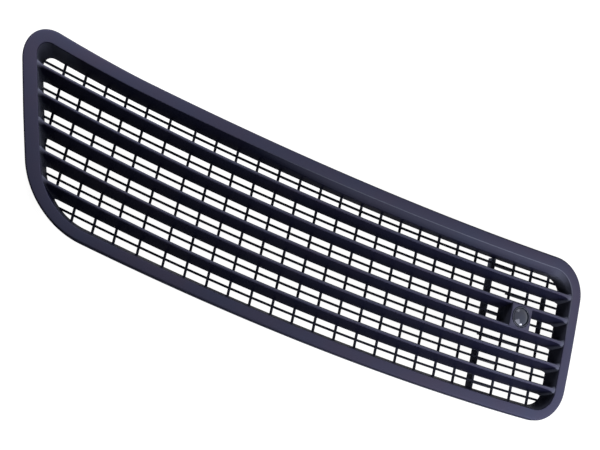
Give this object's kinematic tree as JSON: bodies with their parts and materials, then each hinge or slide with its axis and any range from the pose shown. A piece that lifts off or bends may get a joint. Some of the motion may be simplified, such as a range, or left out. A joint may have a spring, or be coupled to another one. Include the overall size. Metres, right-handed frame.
{
  "type": "hood grille",
  "caption": "Hood grille: one curved plastic moulding with inclined louvres over a fine lattice, and a round washer jet set in a boss near one end.",
  "frame": {"origin": "middle of the bottom of the bounding box, on the plane that the rear edges of the end walls rest on", "axes": "+Z out of the outer face of the grille, +X across the hood from the wide slanted end to the end with the jet, +Y along the upright bars of the lattice"},
  "size_m": [0.5992, 0.2436, 0.0592],
  "materials": {
    "grained_plastic": "fine grain, dark violet-black",
    "gloss_plastic": "smooth, dark grey"
  },
  "bodies": {
    "root": {"grille": "grained_plastic", "washer_jet": "gloss_plastic"}
  },
  "joints": []
}
